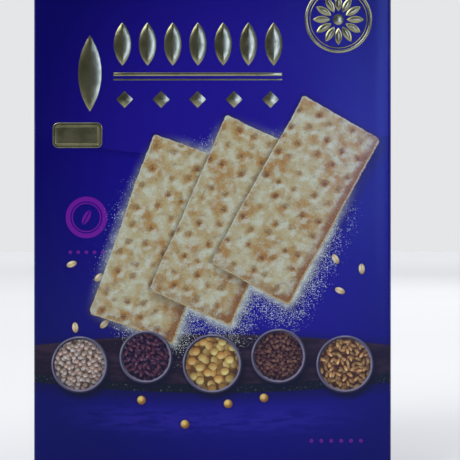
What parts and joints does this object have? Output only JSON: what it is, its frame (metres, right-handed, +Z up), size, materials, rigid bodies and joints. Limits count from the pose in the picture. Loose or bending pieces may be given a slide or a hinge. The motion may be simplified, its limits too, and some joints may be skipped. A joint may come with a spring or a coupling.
{
  "type": "cracker carton",
  "caption": "Shut upright folding carton for crackers, violet-blue board with folded edges, glued closing flaps, a side seam and a gold foil and cracker print on its broad front.",
  "frame": {"origin": "middle of the base, on the surface the carton stands on", "axes": "+Z up along the height, -Y towards the printed front, +X towards the right side as the front is seen"},
  "size_m": [0.16, 0.06, 0.235],
  "materials": {
    "board": "gloss varnished print"
  },
  "bodies": {
    "root": {"carton": "board"}
  },
  "joints": []
}
